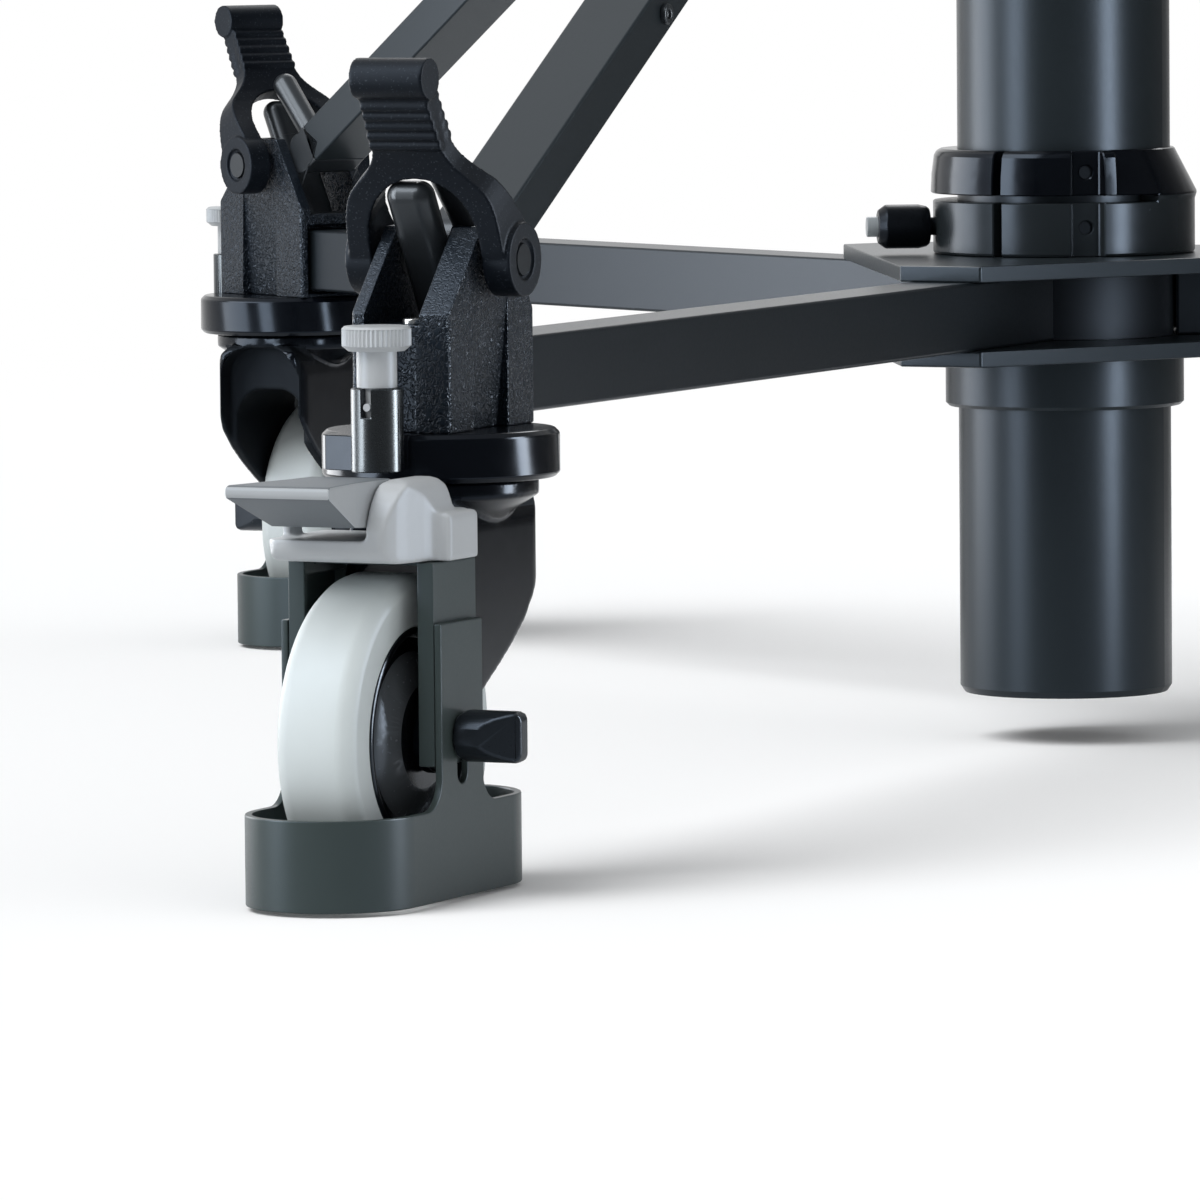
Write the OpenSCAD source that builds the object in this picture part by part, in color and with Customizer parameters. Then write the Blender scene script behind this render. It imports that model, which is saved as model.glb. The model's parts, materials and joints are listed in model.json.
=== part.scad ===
// Studio camera pedestal: a lift column in a three-legged dolly on braked castors
// X, Y and Z in millimetres, the floor at Z = 0 and the column's axis at X = Y = 0

/* [Column] */
// Outside diameter of the fixed column tube
column_d = 95; // [90:1:100]
// Wall of the fixed column tube
column_wall = 4; // [3:0.5:5]
// Height of the column tube's open lower end above the floor
column_bottom = 21.5; // [15:1:60]
// Height of the column tube's top
column_top = 700; // [660:10:800]
// Outside diameter of the lift tube
lift_d = 76; // [64:1:80]
// Wall of the lift tube
lift_wall = 4; // [3:0.5:6]
// Height of the lift tube's lower end with the pedestal fully down
lift_bottom = 60; // [40:5:120]
// Rise of the steering ring's centre line above the column's top, pedestal fully down
ring_rise = 100; // [84:1:140]
// Rise of the camera head's seat above the steering ring's centre line
head_rise = 62; // [52:1:90]
// Radius of the steering ring's centre line
ring_radius = 205; // [170:5:240]
// Diameter of the steering ring's tube
ring_tube_d = 28; // [22:1:32]

/* [Hub] */
// Distance from the column's axis to the blunt tips of the hub plates
plate_reach = 141; // [125:1:160]
// Width of each blunt tip of the hub plates
plate_tip_w = 38; // [34:1:44]
// Thickness of both hub plates
plate_t = 7; // [5:0.5:9]
// Radius of the split clamp collar
clamp_r = 59.5; // [57:0.5:63]
// Height of the split clamp collar
clamp_h = 46; // [42:1:52]
// Height of the plain collar below the lower plate
low_collar_h = 24; // [18:1:30]
// Height of the index plunger above the upper plate
index_rise = 12.4; // [12:0.2:14]

/* [Legs] */
// Distance from the column's axis to each swivel axis
swivel_r = 634; // [600:1:680]
// Outside width and height of the square leg tubes
leg_size = 30; // [28:1:30]
// Wall of the leg tubes
leg_wall = 2.5; // [1.5:0.5:4]
// Height of the underside of the legs
leg_z = 181; // [180.5:0.5:184]
// Width of the braces
brace_w = 30; // [26:1:30]
// Depth of the braces
brace_h = 20; // [16:1:22]
// Wall of the braces
brace_wall = 2; // [1.5:0.5:3]
// Slope of the braces, in degrees above the floor
brace_slope = 30.6; // [29:0.2:32]
// Distance from the column's axis to each brace's upper pin
brace_top_r = 80; // [74:1:90]

/* [Latches] */
// Height of the latch pins
pin_z = 243; // [241:0.5:245]
// Diameter of the latch pins
pin_d = 12; // [10:0.5:14]
// Lean of the latch levers away from the column, in degrees
lever_lean = 30.3; // [29:0.1:32]
// Length of the latch levers from pin to roll
lever_len = 82; // [78:1:86]
// Diameter of the roll at the top of each lever
roll_d = 16; // [13:0.5:17]
// Width of the towers
tower_w = 42; // [41:0.5:46]

/* [Castors] */
// Diameter of the wheels
wheel_d = 125; // [122:1:126]
// Width of the wheels
wheel_w = 33.6; // [30:0.2:35]
// Diameter of the wheel hubs, inside the tyre
wheel_hub_d = 84; // [78:1:90]
// Distance from each swivel axis to its wheel's axle
castor_trail = 52.5; // [50:0.5:54]
// Radius of the swivel rings
swivel_ring_r = 46.3; // [44:0.1:48]
// Height of the underside of the swivel rings
swivel_z = 158.5; // [158.5:0.1:159.5]
// Diameter of the kingpins
kingpin_d = 20; // [16:1:24]
// Diameter of the axles
axle_d = 10; // [8:1:12]
// Thickness of the fork's cheeks
cheek_t = 5.5; // [4:0.5:6]

/* [Cable guards] */
// Half width of the cable guards
guard_half_w = 34.2; // [33.6:0.2:35]
// Half length of the straight sides of the cable guards
guard_straight = 42.6; // [40:0.2:45]
// Height of the cable guards' rims
guard_h = 36.6; // [30:0.2:38]
// Wall of the cable guards
guard_wall = 3; // [2:0.5:4]
// Clearance between the cable guards and the floor
guard_lift = 1.5; // [1:0.5:4]
// Height that the cable guards can be raised by
guard_travel = 14; // [8:1:16]

/* [Hidden] */
ARMS = ["front", "right", "left"];
arm_azimuth = [270, 30, 150];
castor_azimuth = [270, 30, 90];
$fn = 64;

// Small gaps: a running fit, a clear gap and a cut that passes through
fit = 0.05;
gap = 0.3;
over = 1;

ring_height = column_top + ring_rise;
head_height = ring_height + head_rise;
column_r = column_d / 2;
lift_r = lift_d / 2;
column_bore_r = column_r - column_wall;
leg_top = leg_z + leg_size;
low_plate_z = leg_z - plate_t;
top_plate_top = leg_top + plate_t;
clamp_top = top_plate_top + 1.5 + clamp_h;
swivel_top = leg_z - 3.5;
wheel_r = wheel_d / 2;
half_tower = tower_w / 2;
half_cavity = brace_w / 2 + gap;
tower_in = swivel_r - 41;
tower_out = swivel_r + 35;
pin_r = swivel_r - 3.6;

// The brace's centre line crosses brace_seat_z at brace_seat_r
brace_seat_r = swivel_r - 35;
brace_seat_z = pin_z + 8.8;
brace_rise = (brace_seat_r - brace_top_r) * tan(brace_slope);
brace_top_z = brace_seat_z + brace_rise;
brace_len = (brace_seat_r - brace_top_r) / cos(brace_slope);

// Places a shape in the frame of one arm: X outwards, Y across, Z up
module on_arm(i) rotate([0, 0, arm_azimuth[i]]) children();

// Places a shape in the frame of one castor: X along its trail, Y across, Z up
module on_castor(i)
  rotate([0, 0, arm_azimuth[i]]) translate([swivel_r, 0, 0])
    rotate([0, 0, castor_azimuth[i] - arm_azimuth[i]]) children();

// Extrudes an outline drawn as [X, Z] across Y from y0 to y1
module across(y0, y1)
  translate([0, y1, 0]) rotate([90, 0, 0]) linear_extrude(y1 - y0) children();

// Extrudes an outline drawn as [Y, Z] along X from x0 to x1
module along(x0, x1)
  translate([x0, 0, 0]) rotate([90, 0, 90]) linear_extrude(x1 - x0) children();

// A square with rounded corners, exact arcs
module round_rect(w, h, r) {
  square([w - 2 * r, h], center = true);
  square([w, h - 2 * r], center = true);
  for (x = [-1, 1], y = [-1, 1])
    translate([x * (w / 2 - r), y * (h / 2 - r)]) circle(r = r);
}

// A rectangle with half-round ends along X
module slot_2d(len, r) {
  square([len, 2 * r], center = true);
  for (x = [-1, 1]) translate([x * len / 2, 0]) circle(r = r);
}

// Points of a cubic curve after its start a, pulled by b and c, up to its end d
function bend(a, b, c, d, steps = 7) = [for (i = [1 : steps]) let (t = i / steps)
  pow(1 - t, 3) * a + 3 * t * pow(1 - t, 2) * b + 3 * t * t * (1 - t) * c + pow(t, 3) * d];

// Mirrors the right half of an outline to the left
module both_sides() {
  children();
  mirror([1, 0]) children();
}

// Fixed column

module column_tube() {
  color("#3a4043") rotate_extrude() polygon([
    [column_bore_r, column_bottom], [column_r - 2, column_bottom],
    [column_r, column_bottom + 3], [column_r, column_top],
    [column_bore_r, column_top]]);
}

// Top gland of the column: guides the lift tube and carries the height lock
cap_h = 34;
cap_r = column_r + 9;
lock_azimuth = 330;
lock_boss_r = 11;
lock_reach = cap_r + 12;
lock_screw_d = 10;
lock_z = column_top + 4;

module column_cap() {
  color("#1b1e21") difference() {
    union() {
      rotate_extrude() polygon([
        [lift_r + fit, column_top], [column_r + 0.3, column_top],
        [column_r + 0.3, column_top - 14], [cap_r - 1.5, column_top - 14],
        [cap_r, column_top - 12], [cap_r, column_top + cap_h - 20],
        [lift_r + 7, column_top + cap_h - 14], [lift_r + 6, column_top + cap_h - 14.5],
        [lift_r + fit, column_top + cap_h - 14.5]]);
      rotate([0, 0, lock_azimuth]) translate([lift_r + 3, 0, lock_z + 2])
        rotate([0, 90, 0]) cylinder(r = lock_boss_r, h = lock_reach - lift_r - 3);
    }
    cylinder(r = lift_r + fit, h = 2 * column_top);
    rotate([0, 0, lock_azimuth]) translate([0, 0, lock_z + 2])
      rotate([0, 90, 0]) cylinder(d = lock_screw_d + 2 * fit, h = lock_reach + over);
    translate([0, 0, column_top - 14 - over]) cylinder(r = column_r + 0.3, h = 14 + over);
  }
}

// Height lock: a screw with a lobed knob that presses on the lift tube
lock_knob_r = 21;
lock_lobes = 5;

module height_lock_knob() {
  color("#16181a") rotate([0, 0, lock_azimuth]) translate([0, 0, lock_z + 2])
    rotate([0, 90, 0]) {
      translate([0, 0, lift_r + gap])
        cylinder(d = lock_screw_d, h = lock_reach + 2 - lift_r - gap);
      translate([0, 0, lock_reach + 1]) cylinder(r = 10, h = 9);
      translate([0, 0, lock_reach + 9]) linear_extrude(16) difference() {
        circle(r = lock_knob_r);
        for (i = [0 : lock_lobes - 1]) rotate(i * 360 / lock_lobes)
          translate([lock_knob_r + 5, 0]) circle(r = 9.5);
      }
    }
}

// Lift column and head

guide_h = 30;
guide_clear = 0.2;

module lift_tube() {
  color("#8d9397") rotate_extrude() polygon([
    [lift_r - lift_wall, lift_bottom], [lift_r, lift_bottom],
    [lift_r, head_height - neck_drop], [lift_r - lift_wall, head_height - neck_drop]]);
}

// Guide band round the lower end of the lift tube
module lift_guide() {
  color("#c9ccce") rotate_extrude() polygon([
    [lift_r, lift_bottom], [column_bore_r - guide_clear, lift_bottom + 1.5],
    [column_bore_r - guide_clear, lift_bottom + guide_h - 1.5], [lift_r, lift_bottom + guide_h]]);
}

// Steering ring: a rubbered ring on three spokes and a hub clamped to the lift tube
spoke_d = 16;
ring_hub_r = lift_r + 11;
ring_hub_h = 36;

module steering_ring() {
  color("#202427") {
    translate([0, 0, ring_height]) rotate_extrude($fn = 128)
      translate([ring_radius, 0]) circle(d = ring_tube_d);
    difference() {
      union() {
        translate([0, 0, ring_height - ring_hub_h / 2]) cylinder(r = ring_hub_r, h = ring_hub_h);
        for (a = arm_azimuth) rotate([0, 0, a + 60]) translate([lift_r + 4, 0, ring_height])
          rotate([0, 90, 0]) cylinder(d = spoke_d, h = ring_radius - lift_r - 4);
      }
      translate([0, 0, ring_height - ring_hub_h]) cylinder(r = lift_r, h = 2 * ring_hub_h);
    }
  }
}

// Head seat: a spigot in the lift tube and a round flange with four bolt holes
flange_r = 80;
flange_t = 12;
bolt_circle_r = 60;
bolt_hole_d = 10.5;
head_bore_d = 40;
neck_drop = 26;
neck_r = 66;
spigot_len = 60;

module head_plate() {
  color("#2a2e31") difference() {
    union() {
      translate([0, 0, head_height - flange_t]) cylinder(r = flange_r, h = flange_t);
      translate([0, 0, head_height - neck_drop])
        cylinder(r1 = lift_r, r2 = neck_r, h = neck_drop - flange_t);
      translate([0, 0, head_height - spigot_len])
        cylinder(r = lift_r - lift_wall, h = spigot_len - flange_t);
    }
    translate([0, 0, head_height - spigot_len - over])
      cylinder(d = head_bore_d, h = spigot_len + 2 * over);
    for (a = [45 : 90 : 315]) rotate([0, 0, a]) translate([bolt_circle_r, 0, head_height - neck_drop])
      cylinder(d = bolt_hole_d, h = neck_drop + over);
  }
}

// Hub of the dolly

// Outline of both hub plates: a triangle with blunt tips under the legs
module plate_2d() {
  points = [for (a = arm_azimuth) for (s = [-1, 1])
    [plate_reach * cos(a) - s * plate_tip_w / 2 * sin(a),
     plate_reach * sin(a) + s * plate_tip_w / 2 * cos(a)]];
  polygon(points);
}

module hub_plate(z) {
  difference() {
    translate([0, 0, z]) linear_extrude(plate_t) plate_2d();
    translate([0, 0, z - over]) cylinder(r = column_r + 0.2, h = plate_t + 2 * over);
  }
}

module hub_top_plate() {
  color("#33393c") hub_plate(leg_top);
}

module hub_bottom_plate() {
  color("#33393c") hub_plate(low_plate_z);
}

// Plain collar that carries the lower plate on the column
low_collar_r = column_r + 5.8;

module lower_collar() {
  color("#3a4043") rotate_extrude() polygon([
    [column_r, low_plate_z - low_collar_h], [low_collar_r - 1.5, low_plate_z - low_collar_h],
    [low_collar_r, low_plate_z - low_collar_h + 1.5], [low_collar_r, low_plate_z],
    [column_r, low_plate_z]]);
}

// Split clamp collar: two tiers parted by a saw cut, closed by two screws across a recess
clamp_z = top_plate_top;
clamp_cut_z = clamp_z + 24;
clamp_cut_h = 3.2;
clamp_cut_end = 338;
slit_azimuth = 262;
slit_w = 4;
screw_azimuth = 303;
recess_r = column_r + 6;
recess_w = 12;
recess_edge = 2.5;
clamp_screw_d = 6;
clamp_screw_rise = [13, 37.5];
bevel_azimuth = [316, 418];
index_azimuth = 210;
index_pin_d = 8;
index_z = top_plate_top + index_rise;

module clamp_profile() {
  polygon([
    [column_r, clamp_z], [clamp_r - 2, clamp_z], [clamp_r - 1, clamp_z + 1],
    [clamp_r - 1, clamp_cut_z], [clamp_r, clamp_cut_z + clamp_cut_h], [clamp_r - 0.4, clamp_top - 12],
    [clamp_r - 1.5, clamp_top - 3.5], [clamp_r - 2.6, clamp_top - 1.5], [clamp_r - 4.5, clamp_top - 0.5],
    [column_r, clamp_top - 0.5]]);
}

// Plan of a sector between two azimuths, longer than the collar is wide
module sector_2d(a0, a1) {
  far = 2 * clamp_r;
  polygon(concat([[0, 0]], [for (i = [0 : 4]) let (a = a0 + (a1 - a0) * i / 4)
    [far * cos(a), far * sin(a)]]));
}

module clamp_collar() {
  color("#15171a") difference() {
    rotate_extrude() clamp_profile();
    // Saw cut between the tiers, left whole over one sector
    difference() {
      translate([0, 0, clamp_cut_z]) cylinder(r = clamp_r + over, h = clamp_cut_h);
      translate([0, 0, clamp_cut_z - over]) linear_extrude(clamp_cut_h + 2 * over)
        sector_2d(clamp_cut_end, clamp_cut_end + 140);
    }
    // Wide bevel over the whole sector
    intersection() {
      translate([0, 0, clamp_z]) linear_extrude(clamp_h + 4) sector_2d(bevel_azimuth[0], bevel_azimuth[1]);
      rotate_extrude() polygon([
        [clamp_r + 0.8, clamp_top - 22], [clamp_r + 3, clamp_top - 22], [clamp_r + 3, clamp_top + over],
        [column_r + 1, clamp_top + over]]);
    }
    // Slit that lets both tiers close on the column
    rotate([0, 0, slit_azimuth]) translate([column_r - 2, -slit_w / 2, clamp_z - over])
      cube([20, slit_w, clamp_h + 4]);
    // Recess with splayed sides and the screws' seats
    rotate([0, 0, screw_azimuth]) {
      translate([0, 0, clamp_z - over]) linear_extrude(clamp_h + 4) polygon([
        [recess_r, -recess_w / 2], [clamp_r + 1, -recess_w / 2 - recess_edge],
        [clamp_r + 1, recess_w / 2 + recess_edge], [recess_r, recess_w / 2]]);
      for (h = clamp_screw_rise) translate([column_r - over, 0, clamp_z + h])
        rotate([0, 90, 0]) cylinder(d = clamp_screw_d, h = 20);
    }
    // Bore of the index plunger
    rotate([0, 0, index_azimuth]) translate([column_r - over, 0, index_z])
      rotate([0, 90, 0]) cylinder(d = index_pin_d + 2 * fit, h = 20);
  }
}

module clamp_screws() {
  color("#0d0e10") rotate([0, 0, screw_azimuth]) for (h = clamp_screw_rise)
    translate([column_r, 0, clamp_z + h]) rotate([0, 90, 0])
      cylinder(d = clamp_screw_d, h = recess_r - column_r - 1.5);
}

// Index plunger: a bevelled knob on a pin that reaches into the collar
index_knob_r = 9.8;
index_knob_start = clamp_r + gap + 4;
index_knob_len = 20;
index_button_d = 9;

module index_plunger() {
  rotate([0, 0, index_azimuth]) translate([0, 0, index_z]) rotate([0, 90, 0]) {
    color("#131517") rotate_extrude() translate([0, index_knob_start]) polygon([
      [0, 0], [index_knob_r - 2, 0], [index_knob_r - 0.8, 1.5], [index_knob_r, 5],
      [index_knob_r, index_knob_len - 3.5], [index_knob_r - 2.5, index_knob_len], [0, index_knob_len]]);
    color("#9aa0a3") {
      translate([0, 0, column_r + 2]) cylinder(d = index_pin_d, h = index_knob_start - column_r - 1);
      translate([0, 0, index_knob_start + index_knob_len - 1]) cylinder(d = index_button_d, h = 6);
    }
  }
}

// Legs

module leg_tubes() {
  color("#3a4043") for (i = [0 : 2]) on_arm(i) difference() {
    translate([0, 0, leg_z + leg_size / 2]) along(column_r + 1, swivel_r - 6)
      round_rect(leg_size, leg_size, 1.5);
    translate([0, 0, leg_z + leg_size / 2]) along(column_r, swivel_r)
      square(leg_size - 2 * leg_wall, center = true);
    cylinder(r = column_r + 2, h = 2 * leg_top);
  }
}

// Tower on each castor: two sloped cheeks round the brace's foot, and the leg's socket
tower_shoulder_z = pin_z - 20;
tower_top_z = pin_z + 13;
cavity_z = leg_top + 8;
panel_half = 15;
panel_depth = 4.8;
recess_half = 6;
slot_step = pin_r + pin_d / 2 + 2;
slot_side = 8;

module castor_tower(i) {
  color("#24282b") on_arm(i) difference() {
    across(-half_tower, half_tower) polygon([
      [tower_in, swivel_top], [tower_out, swivel_top], [tower_out, tower_shoulder_z],
      [tower_out - 30.5, tower_top_z], [tower_in + 22.5, tower_top_z],
      [tower_in, tower_shoulder_z - 1.5]]);
    // Slot for the brace's foot, narrower outboard of the pin
    translate([tower_in - over, -half_cavity, cavity_z])
      cube([slot_step - tower_in + over, 2 * half_cavity, 80]);
    translate([tower_in, -half_cavity, cavity_z])
      cube([tower_out - tower_in + over, half_cavity + slot_side, 80]);
    // Socket of the leg, with a wider frame at its mouth
    translate([tower_in - over, -leg_size / 2, leg_z])
      cube([swivel_r - 6 - tower_in + over, leg_size, leg_size]);
    translate([tower_in - over, -leg_size / 2 - 2, leg_z - 1.5])
      cube([7 + over, leg_size + 4, leg_size + 4]);
    // Panels on both sides that lean inwards towards the ring
    for (s = [-1, 1]) along(swivel_r - 2 - panel_half, swivel_r - 2 + panel_half) polygon([
      [s * (half_tower + over), swivel_top - over], [s * (half_tower - panel_depth), swivel_top - over],
      [s * half_tower, pin_z - 12], [s * (half_tower + over), pin_z - 12]]);
    // Recess down the middle of the outboard face
    translate([tower_out - 3, -recess_half, swivel_top - over])
      cube([3 + over, 2 * recess_half, tower_shoulder_z - swivel_top]);
    // Chamfered upright corners
    for (x = [tower_in, tower_out], s = [-1, 1]) translate([x, s * half_tower, 0])
      rotate([0, 0, 45]) cube([1.6, 1.6, 2 * tower_top_z], center = true);
    // Seats of the latch pins
    translate([pin_r, 0, pin_z]) rotate([90, 0, 0])
      cylinder(d = pin_d, h = tower_w + 2 * over, center = true);
  }
}

// Latch pins: a stub through each cheek, and the post that stands in the lever's window
lever_half_w = 35.5;
pin_recess = 1.6;
post_off = 3.6;
post_r = 6;
post_y = [-8, -0.5];
post_top = 31;

module lever_pins() {
  color("#54595c") for (i = [0 : 2]) on_arm(i) {
    for (s = [-1, 1]) translate([pin_r, 0, pin_z]) rotate([-s * 90, 0, 0])
      translate([0, 0, half_cavity]) cylinder(d = pin_d, h = lever_half_w - half_cavity - pin_recess + 1);
    intersection() {
      translate([pin_r, 0, pin_z]) rotate([0, lever_lean, 0]) translate([post_off, 0, 0]) {
        for (y = post_y) translate([0, y, -60]) cylinder(r = post_r, h = 60 + post_top);
        for (y = post_y) translate([0, y, post_top]) sphere(r = post_r);
        translate([-post_r, post_y[0], -60]) cube([2 * post_r, post_y[1] - post_y[0], 60 + post_top]);
        translate([0, post_y[0], post_top]) rotate([-90, 0, 0])
          cylinder(r = post_r, h = post_y[1] - post_y[0]);
      }
      translate([tower_in, -half_cavity, cavity_z])
        cube([tower_out - tower_in + 60, 2 * half_cavity, 100]);
    }
  }
}

// Swivel rings: a round bearing housing with the lock's lug and guide tube
lug_reach = 52;
plunger_x = 55;
plunger_d = 12;
guide_r = 10.1;
guide_top = swivel_top + 18.5;
lug_z = swivel_z + 5.5;

module swivel_rings() {
  color("#1a1d20") for (i = [0 : 2]) on_arm(i) translate([swivel_r, 0, 0]) difference() {
    union() {
      rotate_extrude() polygon([
        [0, swivel_z], [swivel_ring_r - 2, swivel_z], [swivel_ring_r, swivel_z + 2],
        [swivel_ring_r, swivel_top - 2], [swivel_ring_r - 2, swivel_top], [0, swivel_top]]);
      translate([0, 0, lug_z]) linear_extrude(swivel_top - lug_z) polygon([
        [10, -26], [lug_reach - 2, -26], [lug_reach, -24], [lug_reach + 4, -8],
        [lug_reach + 4, 8], [10, 8]]);
      translate([plunger_x, 0, lug_z]) cylinder(r = guide_r, h = guide_top - lug_z);
    }
    translate([0, 0, swivel_z - over]) cylinder(d = kingpin_d + 2 * fit, h = 14 + over);
    translate([plunger_x, 0, lug_z - over])
      cylinder(d = plunger_d + 2 * fit, h = guide_top - lug_z + 2 * over);
    // Slot for the plunger's cross pin
    translate([plunger_x, -2, guide_top - 11]) cube([guide_r + over, 4, 11 + over]);
  }
}

// Directional lock: a knurled knob, a neck and the plunger itself
knob_r = 13.4;
knob_h = 9.5;
neck_h = 14;
neck_d = 15.6;
knurls = 48;

module lock_plunger(i) {
  on_arm(i) translate([swivel_r + plunger_x, 0, 0]) {
    color("#b9bdc0") {
      translate([0, 0, lug_z + 1]) cylinder(d = plunger_d, h = guide_top - lug_z);
      translate([0, 0, guide_top + gap]) cylinder(r = neck_d / 2, h = neck_h);
      translate([0, 0, guide_top + gap + neck_h]) cylinder(r1 = knob_r - 2.5, r2 = knob_r, h = 2);
      translate([0, 0, guide_top + gap + neck_h + 2]) linear_extrude(knob_h - 3) difference() {
        circle(r = knob_r);
        for (a = [0 : 360 / knurls : 359]) rotate(a) translate([knob_r + 0.4, 0])
          circle(r = 0.9, $fn = 6);
      }
      translate([0, 0, guide_top + gap + neck_h + knob_h - 1])
        cylinder(r1 = knob_r, r2 = knob_r - 1, h = 1);
    }
    color("#d9dcde") translate([plunger_d / 2 - 1, 0, guide_top - 7])
      rotate([0, 90, 0]) cylinder(d = 3, h = guide_r - plunger_d / 2);
  }
}

// Latch levers

window_half_w = half_tower + 2.6;
rib_start = 54.5;
rib_pitch = 4.4;
rib_r = 2.1;
rib_off = [-3.6, 4.2];

// Front outline of a lever, drawn as [across, along], with the arched window
module lever_front_2d() {
  difference() {
    both_sides() polygon(concat([[-0.1, -20], [-0.1, lever_len], [14.6, lever_len], [14.6, 56]],
      bend([14.6, 56], [15, 46], [21, 42], [27, 36]),
      bend([27, 36], [32, 31], [arm_half_w, 24], [arm_half_w, 8]), [[arm_half_w, -20]]));
    both_sides() polygon(concat([[-0.1, -22], [window_half_w, -22], [window_half_w, 14]],
      bend([window_half_w, 14], [window_half_w, 30], [12, 39.8], [-0.1, 39.8])));
  }
}

// Side outline of a lever, drawn as [outwards, along]: thin at the neck, round at the pin
boss_r = 14.4;
arm_half_w = lever_half_w - 2.2;

module lever_side_2d() {
  circle(r = boss_r - 0.6);
  polygon(concat([[-4.4, lever_len], [5, lever_len], [5, 48]],
    bend([5, 48], [5, 34], [10, 22], [boss_r - 1.2, 3]), [[-boss_r + 1.2, 3]],
    bend([-boss_r + 1.2, 3], [-10, 20], [-4.4, 30], [-4.4, 46])));
}

module latch_lever(i) {
  color("#17191c") on_arm(i) translate([pin_r, 0, pin_z]) rotate([0, lever_lean, 0])
    difference() {
      union() {
        intersection() {
          along(-40, 40) lever_front_2d();
          across(-lever_half_w, lever_half_w) lever_side_2d();
        }
        translate([0, 0, lever_len]) rotate([90, 0, 0])
          cylinder(d = roll_d, h = 31.2, center = true);
        // Grip ribs below the roll, on both faces
        for (k = [0 : 4], x = rib_off) translate([x, 0, rib_start + rib_pitch * k]) rotate([90, 0, 0])
          cylinder(r = rib_r, h = 30.6 - 0.4 * k, center = true);
        // Round bosses at the pin
        for (s = [-1, 1]) translate([0, s * window_half_w, 0]) rotate([-s * 90, 0, 0])
          cylinder(r = boss_r, h = lever_half_w - window_half_w);
      }
      for (s = [-1, 1]) translate([0, s * lever_half_w, 0]) rotate([-s * 90, 0, 0])
        translate([0, 0, -pin_recess]) cylinder(d = pin_d + 4, h = pin_recess + over);
      rotate([90, 0, 0]) cylinder(d = pin_d + 2 * fit, h = 2 * lever_half_w + over, center = true);
    }
}

// Braces

// Places a shape in the frame of a brace: X down its length from the upper pin
module on_brace(i)
  on_arm(i) translate([brace_top_r, 0, brace_top_z]) rotate([0, brace_slope, 0]) children();

brace_pin_d = 8;
brace_nose = brace_h / 2;
brace_end = brace_len + 5 - brace_nose;

module brace_tube(i) {
  color("#3a4043") on_brace(i) difference() {
    union() {
      along(0, brace_end) round_rect(brace_w, brace_h, 1.2);
      rotate([90, 0, 0]) cylinder(d = brace_h, h = brace_w, center = true);
    }
    along(24, brace_end + over)
      square([brace_w - 2 * brace_wall, brace_h - 2 * brace_wall], center = true);
    rotate([90, 0, 0]) cylinder(d = brace_pin_d + 2 * fit, h = brace_w + 2 * over, center = true);
  }
}

// Foot of each brace: a plug, a round nose and the round tongue behind the lever
tongue_r = 6;
tongue_lean = 46;
tongue_len = 47;
tongue_y = 1;

module brace_foot(i) {
  color("#2b3033") on_brace(i) {
    along(brace_end - 36, brace_end)
      square([brace_w - 2 * brace_wall, brace_h - 2 * brace_wall], center = true);
    along(brace_end, brace_end + brace_nose) round_rect(brace_w, brace_h, 1.2);
    translate([brace_end + brace_nose, 0, 0]) {
      rotate([90, 0, 0]) cylinder(d = brace_h, h = brace_w, center = true);
      rotate([0, tongue_lean - brace_slope, 0]) translate([0, tongue_y, 0]) {
        cylinder(r = tongue_r, h = tongue_len);
        translate([0, 0, tongue_len]) sphere(r = tongue_r);
      }
    }
  }
}

// Collar near the column's top with a pair of ears for each brace
ear_t = 6;
ear_gap = brace_w / 2 + gap;
brace_collar_h = 44;

module brace_collar() {
  color("#24282b") difference() {
    union() {
      translate([0, 0, brace_top_z - brace_collar_h / 2 - 4])
        cylinder(r = column_r + 8, h = brace_collar_h);
      for (i = [0 : 2], s = [-1, 1]) on_arm(i)
        across(s > 0 ? ear_gap : -ear_gap - ear_t, s > 0 ? ear_gap + ear_t : -ear_gap) union() {
          translate([brace_top_r, brace_top_z]) circle(r = 13);
          polygon([[column_r + 2, brace_top_z - 25], [brace_top_r + 6, brace_top_z - 11.5],
            [brace_top_r, brace_top_z + 13], [column_r + 2, brace_top_z + 17]]);
        }
    }
    cylinder(r = column_r, h = 2 * brace_top_z);
    // Relief for the round ends of the braces
    for (i = [0 : 2]) on_arm(i) translate([brace_top_r, 0, brace_top_z]) rotate([90, 0, 0])
      cylinder(r = brace_h / 2 + 14, h = brace_w + 2 * gap, center = true);
    for (i = [0 : 2]) on_arm(i) translate([brace_top_r, 0, brace_top_z]) rotate([90, 0, 0])
      cylinder(d = brace_pin_d, h = 2 * (ear_gap + ear_t + over), center = true);
  }
}

module brace_pins() {
  color("#8f9496") for (i = [0 : 2]) on_arm(i) translate([brace_top_r, 0, brace_top_z])
    rotate([90, 0, 0]) cylinder(d = brace_pin_d, h = 2 * (ear_gap + ear_t + 2), center = true);
}

// Castors

// Side outline of the fork, drawn as [trail, height]: a swept-back hood down to the axle
fork_top = swivel_z - 2.5;
fork_in = wheel_w / 2 + 1.7;
fork_out = fork_in + cheek_t;
crown_in_z = wheel_d + 4;
mouth_x = -27;
lip_t = 2.8;
hood_back = -43.5;
hood_span = 140;
hood_corner = 12;
axle_z = wheel_r;

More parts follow.
